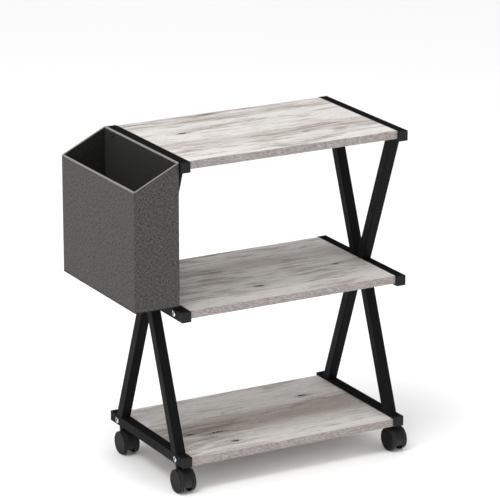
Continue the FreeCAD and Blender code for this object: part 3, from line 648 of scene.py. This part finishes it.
def new_piece(name, mesh, material, stands_for=None, thickness=0.0):
    """A bmesh as a smooth, shown piece of the stand that stays with its frame. A thickness goes inwards
    from the side the sheet was drawn on."""
    data = bpy.data.meshes.new(name)
    mesh.to_mesh(data)
    mesh.free()
    data.polygons.foreach_set("use_smooth", [True] * len(data.polygons))
    piece = bpy.data.objects.new(name, data)
    bpy.context.scene.collection.objects.link(piece)
    if thickness:
        modifier = piece.modifiers.new("thickness", "SOLIDIFY")
        modifier.thickness = thickness
        modifier.offset = -1.0
        modifier.use_even_offset = True
        settled = piece.evaluated_get(bpy.context.evaluated_depsgraph_get())
        solid = bpy.data.meshes.new_from_object(settled)
        piece.modifiers.clear()
        piece.data = solid
        bpy.data.meshes.remove(data)
        piece.data.name = name
    piece.data.materials.append(material)
    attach(piece, "root")
    if stands_for:
        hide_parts(stands_for)


def base_column(place, inset, sag):
    """One column of a base sheet, from its middle out to the turn at its foot: it sags by up to sag, or
    rises where sag is below zero. Gives (point, (u, v)), with a plan of the base as (u, v)."""
    bottom = bag_low.z + inset
    rows = []
    for part in BASE_SHARES:
        reach = inset + FOOT + part * (HALF_WIDTH - inset - FOOT)
        spot, _ = stand_at(place, reach)
        fill = math.sin(math.pi * (spot.y - bag_low.y) / (bag_high.y - bag_low.y))
        rows.append((reach, bottom - sag * fill * math.sin(math.pi / 2 * min(1.0, part * 1.4))))
    for step in range(FOOT_STEPS + 1):
        angle = math.pi / 2 * step / FOOT_STEPS
        rows.append((inset + FOOT * (1 - math.sin(angle)), bottom + FOOT * (1 - math.cos(angle))))
    column = []
    for reach, z in rows:
        spot, _ = stand_at(place, reach)
        column.append((Vector((spot.x, spot.y, z)), (spot.y, spot.x)))
    return column


def base_cloth(places):
    """The black cloth under the bag, turned up round its foot, where its black draws a dark line along the
    bag's foot as painted shade. All its rows lie flat, so no u runs round it, and any length closes it."""
    columns = [base_column(place, 0.0, BASE_SAG) for place in places]
    return loft(columns, 1.0, len(columns[0]))


def wall_cloth(places, rows=46):
    """The columns of an upright sheet of the bag's outside, from its foot to its rim. Its ripple dies out
    towards corners, foot and rim."""
    columns = []
    for place, distance in zip(places, along_way(places, 0.0)):
        spot, outward = stand_at(place, 0.0)
        bottom, top = bag_low.z + FOOT + SEAM_GAP, rim_height(spot.x) - TUCK
        column = []
        for row in range(rows + 1):
            height = row / rows
            z = bottom + (top - bottom) * height
            push = swell(place, height, SWELL)
            if place[0] in SWELL:
                calm = min(1.0, 6 * place[1], 6 - 6 * place[1], 8 * height, 8 - 8 * height)
                push += calm * ripple(spot.x, spot.y, z, *WALL_RIPPLE)
            where = spot + outward * push
            column.append((Vector((where.x, where.y, z)), (distance, z - bottom)))
        columns.append(column)
    return columns


def lining_sheet(places, rows=40):
    """The lining: the pocket's walls and bottom in one sheet, a little slack inwards. The base's last row
    comes twice, so that the walls' u can start afresh there."""
    far = along_way(places, LINING_INSET)
    columns = []
    for place, distance in zip(places, far):
        column = base_column(place, LINING_INSET, -LINING_RISE)
        flat_rows = len(column)
        column.append((column[-1][0], (distance, column[-1][0].z)))
        spot, outward = stand_at(place, LINING_INSET)
        bottom, top = column[-1][0].z, rim_height(spot.x) - TUCK
        for row in range(1, rows + 1):
            height = row / rows
            z = bottom + (top - bottom) * height
            push = swell(place, height, SLACK)
            if place[0] in SWELL:
                calm = min(1.0, 5 * place[1], 5 - 5 * place[1], 6 * height, 10 - 10 * height)
                push += calm * ripple(spot.x, spot.y, z + 1, *SLACK_RIPPLE)
            where = spot - outward * push
            column.append((Vector((where.x, where.y, z)), (distance, z)))
        columns.append(column)
    return loft(columns, far[-1] + PITCH, flat_rows)


BINDING_PROFILE = [
    # (share of the wall's thickness, millimetres more, millimetres over the rim), round the folded tape
    (0, 0.02, -1.25), (0, -0.20, -1.25), (0, -0.28, -1.0), (0, -0.26, -0.4), (0, 0.05, 0.02),
    (0.25, 0, 0.28), (0.5, 0, 0.36), (0.75, 0, 0.28),
    (1, -0.05, 0.02), (1, 0.26, -0.4), (1, 0.28, -1.0), (1, 0.20, -1.25), (1, -0.02, -1.25),
    (1, -0.02, -0.65), (0, 0.02, -0.65),
]


TAPE_EDGE = -1.2            # millimetres over the rim


def binding_tape(places):
    """The tape folded over the rim. What lies lower than TAPE_EDGE in its profile is slightly uneven."""
    profile = BINDING_PROFILE + BINDING_PROFILE[:1]
    section = [Vector((share * WALL + more * MM, height * MM)) for share, more, height in profile]
    far_over_rim = walked(section)
    far = along_way(places, 0.0)
    columns = []
    for place, distance in zip(places, far):
        column = []
        for (share, more, height), far_over in zip(profile, far_over_rim):
            spot, _ = stand_at(place, share * WALL + more * MM)
            uneven = ripple(spot.x, spot.y, 0.0, *TAPE_RIPPLE) if height < TAPE_EDGE else 0.0
            z = rim_height(spot.x) + height * MM + uneven
            column.append((Vector((spot.x, spot.y, z)), (distance, far_over)))
        columns.append(column)
    return loft(columns, far[-1] + PITCH)


def stitch_row(mesh, places, inset):
    """A row of short thread bars laid along the rim."""
    spots = [stand_at(place, inset)[0] for place in places + places[:1]]
    path = [Vector((spot.x, spot.y, rim_height(spot.x) - STITCH_DEPTH)) for spot in spots]
    far = walked(path)

    def at(distance):
        index = max(1, next((i for i, value in enumerate(far) if value >= distance), len(far) - 1))
        share = (distance - far[index - 1]) / max(1e-9, far[index] - far[index - 1])
        return path[index - 1].lerp(path[index], share)

    for number in range(int(far[-1] / STITCH_PITCH)):
        start, end = at(number * STITCH_PITCH), at(number * STITCH_PITCH + STITCH_LENGTH)
        ahead = (end - start).normalized()
        side = ahead.cross(Vector((0, 0, 1))).normalized()
        lift = side.cross(ahead)
        rings = []
        for share, size in STITCH_SHAPE:
            centre = start.lerp(end, share)
            ring = []
            for step in range(STITCH_SIDES):
                angle = 2 * math.pi / STITCH_SIDES * step
                reach = (side * math.cos(angle) + lift * math.sin(angle)) * STITCH_RADIUS * size
                ring.append(mesh.verts.new(centre + reach))
            rings.append(ring)
        for ring, following in zip(rings, rings[1:]):
            for step in range(STITCH_SIDES):
                after = (step + 1) % STITCH_SIDES
                mesh.faces.new((ring[step], ring[after], following[after], following[step]))
        mesh.faces.new(list(reversed(rings[0])))
        mesh.faces.new(rings[-1])


def sew_bag():
    """All the bag's sheets, in place of the CAD's plain fabric, lining and binding."""
    places = way_round(PITCH)
    first, last = places.index((FRONT_INNER_CORNER, 0.5)), places.index((BACK_INNER_CORNER, 0.5))
    linen_mesh = loft(wall_cloth(places[first:last + 1]))
    back_mesh = loft(wall_cloth(places[last:] + places[:first + 1]))
    base_mesh = base_cloth(places)
    lining_mesh = lining_sheet(places)
    for mesh in (base_mesh, lining_mesh):
        bmesh.ops.remove_doubles(mesh, verts=mesh.verts, dist=WELD)
    eyelets_low, eyelets_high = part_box("bag_eyelets")
    reach = (eyelets_high.z - eyelets_low.z) / 2
    for y in (eyelets_low.y + reach, eyelets_high.y - reach):
        pierce(back_mesh, bag_high.x, y, eyelets_low.z + reach, EYELET_HOLE)
        pierce(lining_mesh, lining_high.x, y, eyelets_low.z + reach, EYELET_HOLE)

    tape_mesh = binding_tape(places)
    bmesh.ops.remove_doubles(tape_mesh, verts=tape_mesh.verts, dist=TAPE_WELD)
    stitch_mesh = bmesh.new()
    for inset in (-STITCH_STAND, WALL + STITCH_STAND):
        stitch_row(stitch_mesh, places, inset)
    for mesh in (tape_mesh, stitch_mesh):
        bmesh.ops.recalc_face_normals(mesh, faces=mesh.faces)

    new_piece("bag_linen_cover", linen_mesh, linen, "bag_outer_fabric", CLOTH)
    new_piece("bag_back_cloth", back_mesh, lining_cloth, "bag_outer_fabric", CLOTH)
    # The base cloth's black turned-up edge is painted shade: a dark line along the bag's foot.
    new_piece("bag_base_cloth", base_mesh, lining_cloth, "bag_outer_fabric", CLOTH)
    new_piece("bag_pocket_lining", lining_mesh, lining_cloth, "bag_lining", LINING)
    new_piece("bag_rim_tape", tape_mesh, tape_cloth, "bag_rim_binding")
    new_piece("bag_rim_stitches", stitch_mesh, sewing_thread)


sew_bag()


# ------------------------------------------------------------------ stage, light and camera

FLOOR_SIZE = 60
FLOOR_WHITES = ((0.95, 0.95, 0.95, 1), (0.98, 0.98, 0.98, 1))
SKY = 0.98
MIRRORED_SKY = 0.06
LIGHTS = [
    # (name, place, target, side of its square in metres, watts)
    ("key", (-1.15, -0.45, 3.35), (0.0, 0.0, 0.3), 1.8, 63),
    ("fill_front", (1.4, -4.0, 2.2), (0.0, 0.0, 0.4), 2.0, 8),
]
CAMERA_AZIMUTH = 28.97
CAMERA_PITCH = 17.09
CAMERA_DISTANCE = 5.88
CAMERA_LENS = 222.3
CAMERA_SENSOR = 36.0
CAMERA_REACH = 200.0
CAMERA_AIM = (0.0409, 0.0230, 0.395)


def make_floor():
    """A wide pale floor, a little uneven in tone."""
    bpy.ops.mesh.primitive_plane_add(size=FLOOR_SIZE, location=(0, 0, 0))
    floor = bpy.context.object
    floor.name = "floor"
    m = Finish("pale_floor")
    cloud = m.noise(m.place((0.6, 0.6, 1)), 1.0, 2, 0.5)
    m.set(Base_Color=m.mix(cloud, *FLOOR_WHITES), Roughness=0.75)
    floor.data.materials.append(m.material)


def make_light(name, place, target, side, power):
    """One soft square light, aimed at target."""
    data = bpy.data.lights.new(name, "AREA")
    data.shape = "SQUARE"
    data.size = side
    data.energy = power
    lamp = bpy.data.objects.new(name, data)
    lamp.location = place
    aim = Vector(target) - Vector(place)
    lamp.rotation_euler = aim.to_track_quat("-Z", "Y").to_euler()
    bpy.context.scene.collection.objects.link(lamp)


def make_sky(strength, mirrored):
    """An even white surround, which glossy surfaces see as a dimmer one, like a flagged studio."""
    world = bpy.data.worlds.new("studio")
    bpy.context.scene.world = world
    world.use_nodes = True
    tree = world.node_tree
    sky = tree.nodes["Background"]
    sky.inputs["Color"].default_value = (1.0, 1.0, 1.0, 1.0)
    path = tree.nodes.new("ShaderNodeLightPath")
    level = tree.nodes.new("ShaderNodeMapRange")
    level.inputs["To Min"].default_value = strength
    level.inputs["To Max"].default_value = mirrored
    tree.links.new(path.outputs["Is Glossy Ray"], level.inputs["Value"])
    tree.links.new(level.outputs["Result"], sky.inputs["Strength"])


def make_camera():
    """The long-lens view from the front left, a little above the top board."""
    data = bpy.data.cameras.new("camera")
    data.lens = CAMERA_LENS
    data.sensor_width = CAMERA_SENSOR
    data.clip_end = CAMERA_REACH
    camera = bpy.data.objects.new("camera", data)
    azimuth, pitch = math.radians(CAMERA_AZIMUTH), math.radians(CAMERA_PITCH)
    level = math.cos(pitch)
    back = Vector((-math.sin(azimuth) * level, -math.cos(azimuth) * level, math.sin(pitch)))
    camera.location = Vector(CAMERA_AIM) + back * CAMERA_DISTANCE
    camera.rotation_euler = (math.radians(90) - pitch, 0.0, -azimuth)
    bpy.context.scene.collection.objects.link(camera)
    bpy.context.scene.camera = camera


make_floor()
make_sky(SKY, MIRRORED_SKY)
for settings in LIGHTS:
    make_light(*settings)
make_camera()

view = bpy.context.scene.view_settings
view.view_transform = "Standard"
view.look = "None"
